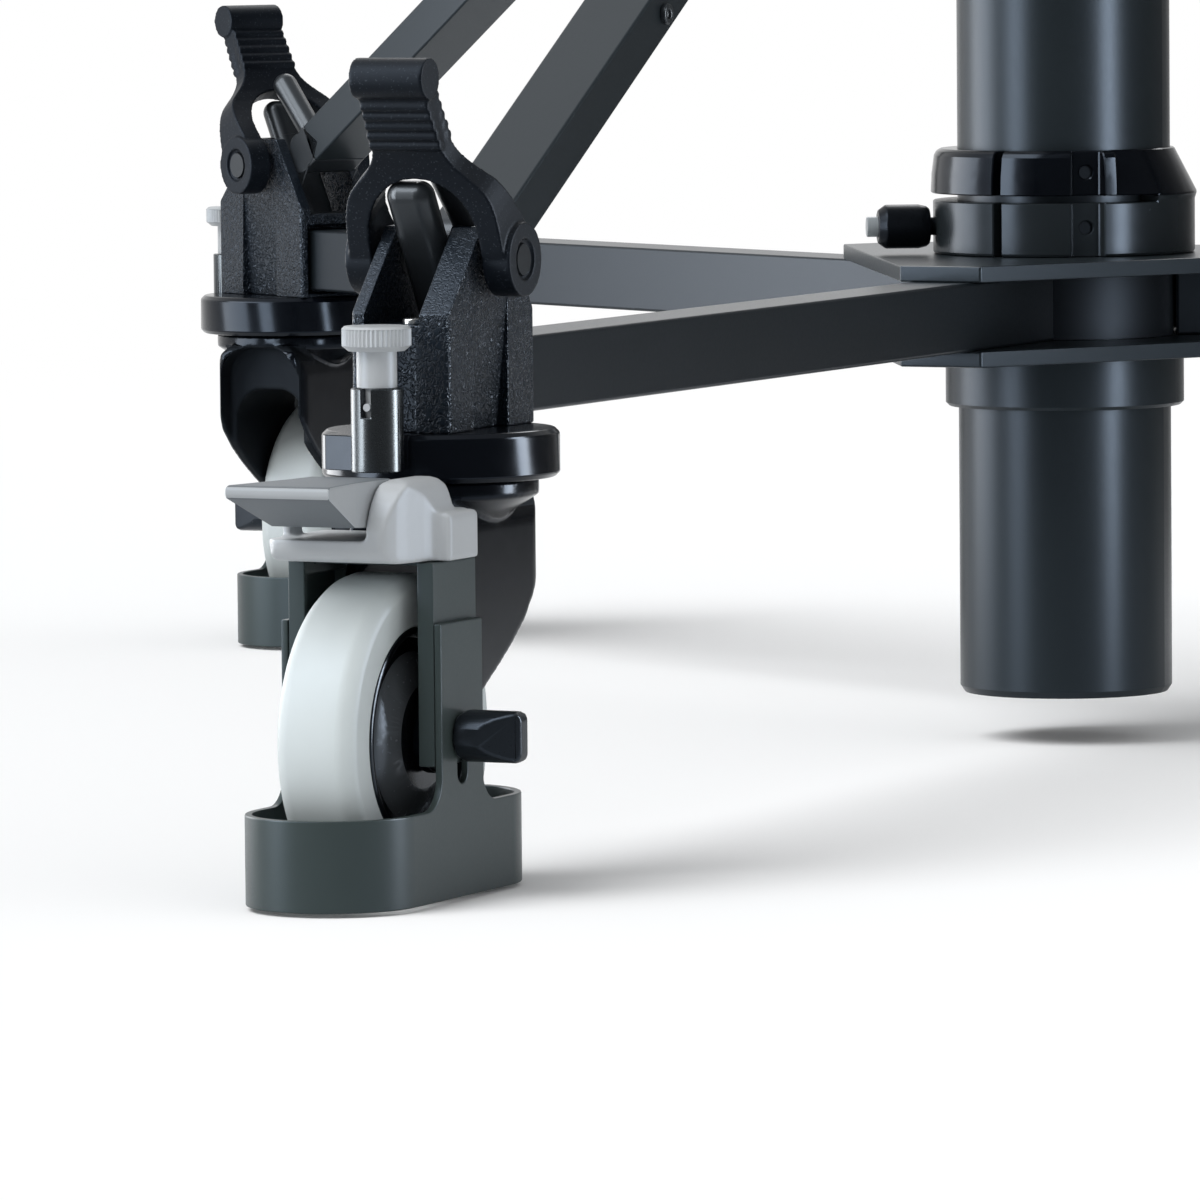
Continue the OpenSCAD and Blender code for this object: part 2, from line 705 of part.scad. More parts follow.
module fork_side_2d() {
  translate([castor_trail, axle_z]) circle(r = 14);
  polygon(concat([[-26, fork_top]],
    bend([-26, fork_top], [-38, fork_top], [-43.5, fork_top - 8], [-43.5, fork_top - 18]),
    bend([-43.5, fork_top - 18], [-43.5, fork_top - 44], [-20, fork_top - 60], [14, fork_top - 79]),
    [[castor_trail - 8, axle_z - 11.5], [castor_trail + 13, axle_z + 5], [52, axle_z + 28],
    [44, axle_z + 42], [36, crown_in_z - 5], [33, crown_in_z + 1], [33, fork_top]]));
}

// Front outline of the fork's hood, drawn as [across, height]
module hood_2d(half, top, r) {
  translate([-half, 0]) square([2 * half, top - r]);
  translate([-half + r, 0]) square([2 * (half - r), top]);
  for (s = [-1, 1]) translate([s * (half - r), top - r]) circle(r = r);
}

module castor_fork(i) {
  color("#121416") on_castor(i) difference() {
    union() {
      intersection() {
        across(-fork_out, fork_out) fork_side_2d();
        along(-60, 90) hood_2d(fork_out, fork_top, 17);
        translate([hood_back + hood_span / 2, 0, 0]) linear_extrude(fork_top + over)
          round_rect(hood_span, 2 * fork_out, hood_corner);
      }
      translate([0, 0, fork_top - 16]) cylinder(r1 = 20, r2 = 38, h = 12);
      translate([0, 0, fork_top - 4]) cylinder(r = 38, h = 6.2);
      translate([0, 0, fork_top]) cylinder(d = kingpin_d, h = 14);
    }
    along(-70, 100) hood_2d(fork_in, crown_in_z + 2, 14);
    // Flared mouth that leaves a thin lip round the hood's leading side
    along(-70, mouth_x) hood_2d(fork_out - lip_t, fork_top - lip_t - 1, 15);
    translate([castor_trail, 0, axle_z]) rotate([90, 0, 0])
      cylinder(d = axle_d, h = 2 * fork_out + 2, center = true);
  }
}

// Wheel: a tyre with bevelled shoulders on a dished hub
shoulder = 5;

module wheel_tyre(i) {
  color("#d3d8da") on_castor(i) translate([castor_trail, 0, axle_z]) rotate([90, 0, 0])
    rotate_extrude($fn = 128) polygon([
      [wheel_hub_d / 2, -wheel_w / 2 + 1.5], [wheel_r - shoulder, -wheel_w / 2],
      [wheel_r - 1.2, -wheel_w / 2 + shoulder - 1], [wheel_r, -wheel_w / 2 + shoulder + 2],
      [wheel_r, wheel_w / 2 - shoulder - 2], [wheel_r - 1.2, wheel_w / 2 - shoulder + 1],
      [wheel_r - shoulder, wheel_w / 2], [wheel_hub_d / 2, wheel_w / 2 - 1.5]]);
}

module wheel_hub(i) {
  color("#101214") on_castor(i) translate([castor_trail, 0, axle_z]) rotate([90, 0, 0])
    difference() {
      rotate_extrude($fn = 128) polygon([
        [axle_d / 2 + fit, -wheel_w / 2 - 0.6], [20, -wheel_w / 2 - 0.6], [31, -wheel_w / 2 + 4],
        [34, -wheel_w / 2 + 6.5], [38, -wheel_w / 2 + 6.5], [39.5, -wheel_w / 2 + 1],
        [wheel_hub_d / 2, -wheel_w / 2 + 1.5], [wheel_hub_d / 2, wheel_w / 2 - 1.5],
        [39.5, wheel_w / 2 - 1], [38, wheel_w / 2 - 6.5], [34, wheel_w / 2 - 6.5],
        [31, wheel_w / 2 - 4], [20, wheel_w / 2 + 0.6], [axle_d / 2 + fit, wheel_w / 2 + 0.6]]);
    }
}

module wheel_axle(i) {
  color("#6a6f72") on_castor(i) translate([castor_trail, 0, axle_z]) rotate([90, 0, 0]) {
    cylinder(d = axle_d, h = 2 * fork_out, center = true);
    for (s = [-1, 1]) translate([0, 0, s * (fork_out + 0.5)])
      cylinder(r = axle_d / 2 + 2.5, h = 1, center = true);
  }
}

// Brake

housing_z = wheel_d + 6;
housing_back = 39;
housing_front = 92;
pedal_y = [-27.5, 12];
pedal_pivot_x = 70;
pedal_pivot_z = housing_z + 20;
pedal_pin_d = 5;

// Side outline of the pedal: deep behind its pin, thin at its lip
module pedal_side_2d() {
  polygon([[pedal_pivot_x - 7, pedal_pivot_z - 5], [pedal_pivot_x - 3, pedal_pivot_z - 7.5],
    [pedal_pivot_x + 29, pedal_pivot_z - 5.5], [pedal_pivot_x + 59, pedal_pivot_z + 6.8],
    [pedal_pivot_x + 60, pedal_pivot_z + 8], [pedal_pivot_x + 60, pedal_pivot_z + 11],
    [pedal_pivot_x + 58, pedal_pivot_z + 12], [pedal_pivot_x - 2, pedal_pivot_z + 11.5],
    [pedal_pivot_x - 7, pedal_pivot_z + 7]]);
}

// Plan of the pedal: a wide lip with its corners cut back to the pin
module pedal_plan_2d() {
  polygon([[pedal_pivot_x - 8, pedal_y[0] + 5], [pedal_pivot_x + 14, pedal_y[0] + 5],
    [pedal_pivot_x + 61, pedal_y[0]], [pedal_pivot_x + 61, pedal_y[1] + 5],
    [pedal_pivot_x + 28, pedal_y[1]], [pedal_pivot_x - 8, pedal_y[1]]]);
}

module brake_pedal(i) {
  color("#b4b8bb") on_castor(i) difference() {
    intersection() {
      across(pedal_y[0] - over, pedal_y[1] + 8) pedal_side_2d();
      translate([0, 0, pedal_pivot_z - 20]) linear_extrude(50) pedal_plan_2d();
    }
    translate([pedal_pivot_x, 0, pedal_pivot_z]) rotate([90, 0, 0])
      cylinder(d = pedal_pin_d + 2 * fit, h = 3 * pedal_y[1] - 3 * pedal_y[0], center = true);
  }
}

housing_y = [-31, 35];
hump_y = [pedal_y[1] + gap, 24];
hump_top = housing_z + 31.5;
hump_back = swivel_ring_r + 1.7;
block_top = housing_z + 18.5;

// Side outline of the housing, with its round lower lip
module housing_side_2d() {
  polygon(concat([[hump_back, hump_top - 3], [hump_back, block_top + 0.5], [housing_back, block_top + 0.5],
    [housing_back, housing_z], [housing_front - 8, housing_z]],
    bend([housing_front - 8, housing_z], [housing_front - 2, housing_z], [housing_front, housing_z + 3],
      [housing_front, housing_z + 8], 4),
    bend([housing_front, housing_z + 8], [housing_front, housing_z + 18], [pedal_pivot_x + 14, hump_top],
      [pedal_pivot_x + 4, hump_top], 6), [[hump_back + 3, hump_top]]));
}

// Front outline of the housing, drawn as [across, height]: low under the pedal, then the hump
module housing_front_2d() {
  polygon(concat([[housing_y[0] + 9, housing_z - over], [housing_y[1], housing_z - over],
    [housing_y[1], block_top - 1.5], [housing_y[1] - 1.5, block_top], [hump_y[1] + 6, block_top]],
    bend([hump_y[1] + 6, block_top], [hump_y[1] + 4, block_top], [hump_y[1] + 4, hump_top],
      [hump_y[1] - 3, hump_top], 6),
    [[hump_y[0] + 2, hump_top], [hump_y[0], hump_top - 2], [hump_y[0], housing_z + 9],
    [housing_y[0], housing_z + 9]],
    bend([housing_y[0], housing_z + 9], [housing_y[0], housing_z + 3], [housing_y[0] + 3, housing_z - over],
      [housing_y[0] + 9, housing_z - over], 5)));
}

// Plan of the housing: its front draws back behind the hump towards the wing knob's side
module housing_plan_2d() {
  polygon(concat([[housing_back, housing_y[0]], [housing_front - 5, housing_y[0]],
    [housing_front + over, housing_y[0] + 6], [housing_front + over, hump_y[1] - 7]],
    bend([housing_front + over, hump_y[1] - 7], [housing_front - 3, hump_y[1] + 3], [pedal_pivot_x - 4,
      hump_y[1] + 1], [pedal_pivot_x - 6, hump_y[1] + 7], 7),
    [[pedal_pivot_x - 6, housing_y[1]], [housing_back, housing_y[1]]]));
}

// Ear that carries the pedal's pin on its far side
module pedal_ear() {
  translate([pedal_pivot_x, pedal_pivot_z]) circle(r = 6);
  translate([pedal_pivot_x - 6, housing_z + 4]) square([12, pedal_pivot_z - housing_z - 4]);
}

module brake_housing(i) {
  color("#c3c7ca") on_castor(i) {
    intersection() {
      across(housing_y[0], housing_y[1]) housing_side_2d();
      along(housing_back, housing_front + over) housing_front_2d();
      translate([0, 0, housing_z]) linear_extrude(hump_top - housing_z + over) housing_plan_2d();
    }
    across(pedal_y[0] - gap - 3, pedal_y[0] - gap) pedal_ear();
    translate([pedal_pivot_x, pedal_y[1] + gap + 2, pedal_pivot_z]) rotate([90, 0, 0])
      cylinder(d = pedal_pin_d, h = pedal_y[1] - pedal_y[0] + 2 * gap + 4);
  }
}

// Bracket of the cable guard: a strap over the wheel with a channel down each side
upright_x = [34, 71];
upright_in = fork_out;
upright_t = guard_half_w - guard_wall - gap - upright_in;
upright_w = upright_x[1] - upright_x[0];
upright_low = guard_h + guard_travel + 2;
upright_top = housing_z - gap;
strap_t = 2;
strap_x = [45, 62];
channel_wall = 2.5;
clamp_x = castor_trail + 1;
knob_z = 63.5;
knob_screw_d = 8;

module guard_bracket(i) {
  color("#33393c") on_castor(i) difference() {
    union() {
      translate([strap_x[0], -upright_in - over, upright_top - strap_t])
        cube([strap_x[1] - strap_x[0], 2 * (upright_in + over), strap_t]);
      for (s = [-1, 1]) across(min(s * upright_in, s * (upright_in + upright_t)),
        max(s * upright_in, s * (upright_in + upright_t)))
        translate([upright_x[0], upright_low]) square([upright_w, upright_top - upright_low]);
    }
    // Open inner side of each channel, clear of the axle's ends
    for (s = [-1, 1]) across(min(s * (upright_in - over), s * (upright_in + upright_t - channel_wall)),
      max(s * (upright_in - over), s * (upright_in + upright_t - channel_wall)))
      translate([upright_x[0] + channel_wall, upright_low - over])
        square([upright_w - 2 * channel_wall, upright_top - strap_t - 3 - upright_low]);
    // Tapped hole of the wing knob
    translate([clamp_x, 0, knob_z]) rotate([-90, 0, 0])
      cylinder(d = knob_screw_d + 2 * fit, h = upright_in + upright_t + over);
  }
  // Guide stud on the side away from the wing knob
  color("#8f9496") on_castor(i) translate([clamp_x, 0, knob_z]) rotate([90, 0, 0])
    translate([0, 0, upright_in + upright_t]) {
      cylinder(d = knob_screw_d, h = guard_wall + 2 * gap);
      translate([0, 0, guard_wall + 2 * gap]) cylinder(d = knob_screw_d + 6, h = 2.5);
    }
}

// Cable guard: a low fence round the wheel, with slotted tabs that lie on the bracket
tab_half = 18;
tab_top = 107.5;
tab_sweep_r = 12;

module stadium_2d(r) {
  square([2 * guard_straight, 2 * r], center = true);
  for (x = [-1, 1]) translate([x * guard_straight, 0]) circle(r = r);
}

// Tab outline, drawn as [trail, height], with hollow curves down to the rim
module tab_2d() {
  foot = tab_half + tab_sweep_r;
  difference() {
    translate([clamp_x - foot, guard_lift]) square([2 * foot, tab_top - guard_lift]);
    for (s = [-1, 1]) translate([clamp_x + s * foot, guard_h + tab_sweep_r]) {
      circle(r = tab_sweep_r);
      translate([-tab_sweep_r - (s < 0 ? over : 0), 0]) square([2 * tab_sweep_r + over, tab_top]);
    }
    translate([clamp_x, knob_z - guard_travel / 2]) rotate(90)
      slot_2d(guard_travel, knob_screw_d / 2 + gap);
  }
}

module cable_guard(i) {
  color("#3a4043") on_castor(i) {
    translate([castor_trail, 0, guard_lift]) linear_extrude(guard_h - guard_lift) difference() {
      stadium_2d(guard_half_w);
      stadium_2d(guard_half_w - guard_wall);
    }
    across(guard_half_w - guard_wall, guard_half_w) tab_2d();
    across(-guard_half_w, guard_wall - guard_half_w) tab_2d();
  }
}

// Wing knob that clamps the guard's tab: a round grip pinched to a blade at its end
grip_r = 10;
grip_len = 26;
grip_plain = 8;
blade_half = 3.5;

module guard_knob(i) {
  color("#131517") on_castor(i) translate([clamp_x, 0, knob_z]) {
    rotate([-90, 0, 0]) translate([0, 0, upright_in + upright_t - channel_wall])
      cylinder(d = knob_screw_d, h = channel_wall + guard_wall + 2 * gap + 2);
    translate([0, guard_half_w + gap, 0]) intersection() {
      rotate([-90, 0, 0]) cylinder(r = grip_r, h = grip_len);
      translate([0, 0, -grip_r - over]) linear_extrude(2 * grip_r + 2 * over) polygon([
        [-grip_r - over, 0], [grip_r + over, 0], [grip_r + over, grip_plain - over], [blade_half, grip_len],
        [-blade_half, grip_len], [-grip_r - over, grip_plain - over]]);
      translate([-grip_r - over, grip_len / 2, 0]) rotate([90, 0, 90]) linear_extrude(2 * grip_r + 2 * over)
        round_rect(grip_len, 2 * grip_r, 4);
    }
  }
}

column_tube();
hub_top_plate();
hub_bottom_plate();
lower_collar();
clamp_collar();
clamp_screws();
index_plunger();
brace_collar();
brace_pins();
column_cap();
lift_tube();
lift_guide();
steering_ring();
head_plate();
height_lock_knob();
leg_tubes();
swivel_rings();
lever_pins();
for (i = [0 : 2]) {
  castor_tower(i);
  lock_plunger(i);
  latch_lever(i);
  brace_tube(i);
  brace_foot(i);
  castor_fork(i);
  wheel_tyre(i);
  wheel_hub(i);
  wheel_axle(i);
  brake_housing(i);
  brake_pedal(i);
  guard_bracket(i);
  cable_guard(i);
  guard_knob(i);
}
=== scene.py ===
import json
import math

import bpy
from mathutils import Euler, Matrix, Vector


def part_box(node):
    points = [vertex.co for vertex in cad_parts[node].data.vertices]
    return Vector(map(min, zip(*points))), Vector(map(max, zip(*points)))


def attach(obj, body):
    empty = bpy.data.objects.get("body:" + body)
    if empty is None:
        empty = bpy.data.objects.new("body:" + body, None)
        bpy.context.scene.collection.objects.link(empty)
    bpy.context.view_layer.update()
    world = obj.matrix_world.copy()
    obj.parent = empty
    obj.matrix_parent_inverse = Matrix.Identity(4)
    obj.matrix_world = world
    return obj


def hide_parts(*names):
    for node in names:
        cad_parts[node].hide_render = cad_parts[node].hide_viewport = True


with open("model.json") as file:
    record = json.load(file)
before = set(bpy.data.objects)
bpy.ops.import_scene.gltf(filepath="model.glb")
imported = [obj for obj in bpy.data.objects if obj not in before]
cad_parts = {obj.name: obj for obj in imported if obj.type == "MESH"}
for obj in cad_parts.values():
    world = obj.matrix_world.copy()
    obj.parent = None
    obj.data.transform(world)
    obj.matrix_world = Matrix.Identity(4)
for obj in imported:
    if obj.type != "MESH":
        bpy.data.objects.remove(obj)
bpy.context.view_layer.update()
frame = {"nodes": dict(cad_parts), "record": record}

# Camera
# A long lens stands low in front of the dolly, between the front leg and the right one.
# It sees the front and left castors and the lower part of the column.
CAMERA_PLACE = (1.6377, -3.9676, 0.4080)
CAMERA_BEARING = 115.22
CAMERA_DIP = 4.59
CAMERA_ROLL = -0.52
CAMERA_LENS_MM = 287.65
SENSOR_MM = 36.0

camera_data = bpy.data.cameras.new("photo_camera")
camera_data.sensor_fit = "AUTO"
camera_data.sensor_width = SENSOR_MM
camera_data.lens = CAMERA_LENS_MM
camera_data.clip_start = 0.1
camera_data.clip_end = 100.0
camera = bpy.data.objects.new("photo_camera", camera_data)
bpy.context.scene.collection.objects.link(camera)
camera.location = CAMERA_PLACE
look = Euler((math.radians(90.0 - CAMERA_DIP), 0.0, math.radians(CAMERA_BEARING - 90.0)), "XYZ")
rolled = look.to_matrix() @ Matrix.Rotation(math.radians(CAMERA_ROLL), 3, "Z")
camera.rotation_euler = rolled.to_euler()
bpy.context.scene.camera = camera
bpy.context.scene.view_settings.view_transform = "Standard"


# Studio floor and light
# White paper under a white background, one very soft light high on the left, and soft strips
# that draw the narrow highlights. The room on the right is unlit, and reflections show it dark.
FLOOR_HALF_M = 30.0
FLOOR_DROP_M = 0.0002
FLOOR_HEX = "f6f7f8"
FLOOR_FADE_M = (1.3, 3.2)
SKY_FILL = 0.55
# The way to the unlit side of the room, and where along it and along the floor the light ends
ROOM_WAY = (0.836, -0.224, -0.5)
ROOM_EDGE = (-0.7, 0.1)
ROOM_DIM = 0.12
PAPER_END_M = (0.7, 1.3)
SUN_FROM = (-0.62, -1.0, 1.35)
SUN_SPREAD = 40.0
SUN_STRENGTH = 2.1
STRIPS = [
    # Place, point aimed at, width and height in metres, brightness of the lit face
    ((0.84, -0.30, 0.36), (0.0, -0.634, 0.16), 0.24, 0.70, 24.0),
    ((-0.70, -1.20, 0.40), (-0.3, -0.2, 0.16), 0.44, 0.80, 11.0),
    ((-1.16, -0.31, 0.34), (0.0, -0.1, 0.2), 0.70, 0.75, 7.0),
    ((-0.9, 2.6, 2.2), (0.0, 0.0, 0.4), 2.0, 1.0, 3.0),
]


def linear(channel):
    """One sRGB channel from 0 to 1 as linear light."""
    return channel / 12.92 if channel <= 0.04045 else ((channel + 0.055) / 1.055) ** 2.4


def colour(hex_code):
    """An sRGB hex colour as the four linear numbers that a shader takes."""
    channels = [int(hex_code[i : i + 2], 16) / 255.0 for i in (0, 2, 4)]
    return (*[linear(channel) for channel in channels], 1.0)


def add(tree, kind, inputs=None, **settings):
    """Adds a node, sets its properties, and fills or links its inputs."""
    node = tree.nodes.new(kind)
    for name, value in settings.items():
        setattr(node, name, value)
    for name, value in (inputs or {}).items():
        if isinstance(value, bpy.types.NodeSocket):
            tree.links.new(value, node.inputs[name])
        else:
            node.inputs[name].default_value = value
    return node


def empty_material(name):
    """A material with no nodes yet, and its tree."""
    material = bpy.data.materials.new(name)
    material.use_nodes = True
    material.node_tree.nodes.clear()
    return material, material.node_tree


def deselect_all():
    """Nothing selected and nothing active, so that an operator acts on what is added next."""
    for item in bpy.context.selected_objects:
        item.select_set(False)
    bpy.context.view_layer.objects.active = None


def seen_directly(tree):
    """1 on camera, glossy and transmission rays and 0 on the rest."""
    path = add(tree, "ShaderNodeLightPath")
    first = add(tree, "ShaderNodeMath", {0: path.outputs["Is Camera Ray"],
                1: path.outputs["Is Glossy Ray"]}, operation="MAXIMUM")
    both = add(tree, "ShaderNodeMath", {0: first.outputs[0],
               1: path.outputs["Is Transmission Ray"]}, operation="MAXIMUM")
    return both.outputs[0]


def towards_room(tree, way):
    """1 for directions into the unlit side of the room, 0 for those to the white paper."""
    ahead = add(tree, "ShaderNodeVectorMath", {0: way, 1: ROOM_WAY}, operation="DOT_PRODUCT")
    edge = add(tree, "ShaderNodeMapRange", {"Value": ahead.outputs["Value"],
               "From Min": ROOM_EDGE[0], "From Max": ROOM_EDGE[1]},
               interpolation_type="SMOOTHSTEP")
    return edge.outputs[0]


def make_world():
    """White behind the object, and for reflections dimmer towards the unlit side of the room."""
    world = bpy.data.worlds.new("studio_world")
    world.use_nodes = True
    tree = world.node_tree
    tree.nodes.clear()
    fill = add(tree, "ShaderNodeBackground", {"Color": colour("ffffff"), "Strength": SKY_FILL})
    way = add(tree, "ShaderNodeTexCoord").outputs["Generated"]
    room = add(tree, "ShaderNodeMapRange", {"Value": towards_room(tree, way), "To Min": 1.0,
               "To Max": ROOM_DIM})
    to_camera = add(tree, "ShaderNodeLightPath").outputs["Is Camera Ray"]
    shown = add(tree, "ShaderNodeMath", {0: to_camera, 1: room.outputs[0]}, operation="MAXIMUM")
    white = add(tree, "ShaderNodeBackground", {"Color": colour("ffffff"),
                "Strength": shown.outputs[0]})
    mix = add(tree, "ShaderNodeMixShader", {0: seen_directly(tree), 1: fill.outputs[0],
              2: white.outputs[0]})
    add(tree, "ShaderNodeOutputWorld", {"Surface": mix.outputs[0]})
    bpy.context.scene.world = world


def make_floor():
    """A wide matte sheet just under the wheels, dim in reflections past the paper's end."""
    deselect_all()
    bpy.ops.mesh.primitive_plane_add(size=2.0 * FLOOR_HALF_M, location=(0.0, 0.0, -FLOOR_DROP_M))
    floor = bpy.context.object
    floor.name = "studio_floor"
    material, tree = empty_material("matte_white_floor")
    matte = add(tree, "ShaderNodeBsdfDiffuse", {"Color": colour(FLOOR_HEX), "Roughness": 0.6})
    white = add(tree, "ShaderNodeEmission", {"Color": colour("ffffff"), "Strength": 1.0})
    where = add(tree, "ShaderNodeTexCoord").outputs["Object"]
    away = add(tree, "ShaderNodeVectorMath", {0: where}, operation="LENGTH")
    far = add(tree, "ShaderNodeMapRange", {"Value": away.outputs["Value"],
              "From Min": FLOOR_FADE_M[0], "From Max": FLOOR_FADE_M[1]},
              interpolation_type="SMOOTHSTEP")
    fade = add(tree, "ShaderNodeMath", {0: far.outputs[0], 1: seen_directly(tree)},
               operation="MULTIPLY")
    both = add(tree, "ShaderNodeMixShader", {0: fade.outputs[0], 1: matte.outputs[0],
               2: white.outputs[0]})
    past = add(tree, "ShaderNodeMapRange", {"Value": away.outputs["Value"],
               "From Min": PAPER_END_M[0], "From Max": PAPER_END_M[1]},
               interpolation_type="SMOOTHSTEP")
    way = add(tree, "ShaderNodeVectorMath", {0: where}, operation="NORMALIZE").outputs[0]
    bare = add(tree, "ShaderNodeMath", {0: past.outputs[0], 1: towards_room(tree, way)},
               operation="MULTIPLY")
    in_mirror = add(tree, "ShaderNodeLightPath").outputs["Is Glossy Ray"]
    mirrored = add(tree, "ShaderNodeMath", {0: bare.outputs[0], 1: in_mirror},
                   operation="MULTIPLY")
    dim = add(tree, "ShaderNodeEmission", {"Color": colour("ffffff"), "Strength": ROOM_DIM})
    ends = add(tree, "ShaderNodeMixShader", {0: mirrored.outputs[0], 1: both.outputs[0],
               2: dim.outputs[0]})
    add(tree, "ShaderNodeOutputMaterial", {"Surface": ends.outputs[0]})
    floor.data.materials.append(material)


def hang_lamp(lamp, place, target):
    """Puts a lamp in the scene, aimed at a point."""
    holder = bpy.data.objects.new(lamp.name, lamp)
    bpy.context.scene.collection.objects.link(holder)
    holder.location = place
    holder.rotation_euler = (Vector(target) - Vector(place)).to_track_quat("-Z", "Y").to_euler()
    return holder


def make_window_light():
    """One wide even light from the left, the same all over the floor."""
    lamp = bpy.data.lights.new("window_light", "SUN")
    lamp.energy = SUN_STRENGTH
    lamp.angle = math.radians(SUN_SPREAD)
    hang_lamp(lamp, SUN_FROM, (0.0, 0.0, 0.0))


def make_strip(index, place, target, width, height, brightness):
    """A tall soft strip of this brightness, which only polished surfaces show."""
    lamp = bpy.data.lights.new(f"soft_strip_{index}", "AREA")
    lamp.shape = "RECTANGLE"
    lamp.size = width
    lamp.size_y = height
    lamp.energy = brightness * math.pi * width * height
    hang_lamp(lamp, place, target).visible_diffuse = False


make_world()
make_floor()
make_window_light()
for number, (place, target, width, height, brightness) in enumerate(STRIPS):
    make_strip(number, place, target, width, height, brightness)


# Steel tubes and plates of the dolly and the column
# Mild steel, cut, welded and ground, under a satin anthracite powder coat baked in an oven.
# The coat rounds every edge, gives a soft sheen and a faint orange peel.
MM = 0.001
ARMS = ["front", "right", "left"]
MERGE_MM = 0.004
FLAT_DEGREES = 0.4
SMOOTH_DEGREES = 34.0
CRISP_DEGREES = 19.0
EDGE_DEGREES = 30.0
COOL_SHEEN = "c3d7f0"
COAT_CLOUD_MM = 60.0
COAT_PEEL_MM = 1.2
COAT_RELIEF_MM = 0.05
# The colour sockets of a mix node: its two inputs and its result
MIX_A, MIX_B, MIX_RESULT = 6, 7, 2

BODIES = {node: body
          for body, nodes in frame["record"]["behaviour"]["bodies"].items() for node in nodes}


def per_mm(size_mm):
    """Texture scale that gives features of this real size on object coordinates in metres."""
    return 1.0 / (size_mm * MM)


def on_each_arm(*stems):
    """The names of the nodes that the three arms share."""
    return [f"{stem}_{arm}" for stem in stems for arm in ARMS]


def dress(material, *nodes):
    """Gives CAD nodes one finish all over."""
    for name in nodes:
        slots = frame["nodes"][name].data.materials
        for index in range(len(slots)):
            slots[index] = material
        if not slots:
            slots.append(material)


def fit_piece(piece, node):
    """Moves a piece with its CAD node's body."""
    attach(piece, BODIES[node])
    return piece


def round_edges(piece, width_mm, steps, smooth=SMOOTH_DEGREES):
    """Rounds the sharp edges of the active piece and keeps its flat faces flat."""
    rounding = piece.modifiers.new("rounded_edges", "BEVEL")
    rounding.width = width_mm * MM
    rounding.segments = steps
    rounding.limit_method = "ANGLE"
    rounding.angle_limit = math.radians(EDGE_DEGREES)
    rounding.use_clamp_overlap = False
    bpy.ops.object.modifier_apply(modifier="rounded_edges")
    bpy.ops.object.shade_smooth_by_angle(angle=math.radians(smooth))
    flats = piece.modifiers.new("flat_faces", "WEIGHTED_NORMAL")
    flats.keep_sharp = True
    bpy.ops.object.modifier_apply(modifier="flat_faces")


def merged_copy(node):
    """A copy of a CAD node with its loose triangles joined, selected and active."""
    source = frame["nodes"][node]
    piece = bpy.data.objects.new(f"{node}_finished", source.data.copy())
    bpy.context.scene.collection.objects.link(piece)
    deselect_all()
    piece.select_set(True)
    bpy.context.view_layer.objects.active = piece
    if piece.data.has_custom_normals:
        bpy.ops.mesh.customdata_custom_splitnormals_clear()
    bpy.ops.object.mode_set(mode="EDIT")
    bpy.ops.mesh.select_all(action="SELECT")
    bpy.ops.mesh.remove_doubles(threshold=MERGE_MM * MM)
    bpy.ops.mesh.dissolve_limited(angle_limit=math.radians(FLAT_DEGREES))
    bpy.ops.object.mode_set(mode="OBJECT")
    return piece


def round_nodes(width_mm, *nodes, steps=2, smooth=SMOOTH_DEGREES):
    """Shows each CAD node with rounded edges, and returns the new pieces."""
    rounded = []
    for node in nodes:
        piece = merged_copy(node)
        round_edges(piece, width_mm, steps, smooth)
        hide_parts(node)
        rounded.append(fit_piece(piece, node))
    return rounded


def finish_faces(piece, material, chosen):
    """Gives a second finish to the faces that chosen(centre, normal) picks."""
    piece.data.materials.append(material)
    last = len(piece.data.materials) - 1
    for face in piece.data.polygons:
        if chosen(face.center, face.normal):
            face.material_index = last


def make_powder_coat(name, hex_code, dark_hex, roughness):
    """Satin powder coat: cloudy tone, orange peel and a soft sheen."""
    material, tree = empty_material(name)
    where = add(tree, "ShaderNodeTexCoord").outputs["Object"]
    cloud = add(tree, "ShaderNodeTexNoise", {"Vector": where, "Scale": per_mm(COAT_CLOUD_MM),
                "Detail": 3.0})
    tone = add(tree, "ShaderNodeMix", {"Factor": cloud.outputs["Fac"], MIX_A: colour(dark_hex),
               MIX_B: colour(hex_code)}, data_type="RGBA")
    peel = add(tree, "ShaderNodeTexNoise", {"Vector": where, "Scale": per_mm(COAT_PEEL_MM),
               "Detail": 2.0})
    rough = add(tree, "ShaderNodeMapRange", {"Value": peel.outputs["Fac"],
                "To Min": roughness - 0.05, "To Max": roughness + 0.07})
    skin = add(tree, "ShaderNodeBump", {"Height": peel.outputs["Fac"], "Strength": 0.14,
               "Distance": COAT_RELIEF_MM * MM})
    shader = add(tree, "ShaderNodeBsdfPrincipled", {"Base Color": tone.outputs[MIX_RESULT],
                 "Roughness": rough.outputs[0], "Normal": skin.outputs[0],
                 "Specular IOR Level": 0.34, "Specular Tint": colour(COOL_SHEEN)})
    add(tree, "ShaderNodeOutputMaterial", {"Surface": shader.outputs[0]})
    return material


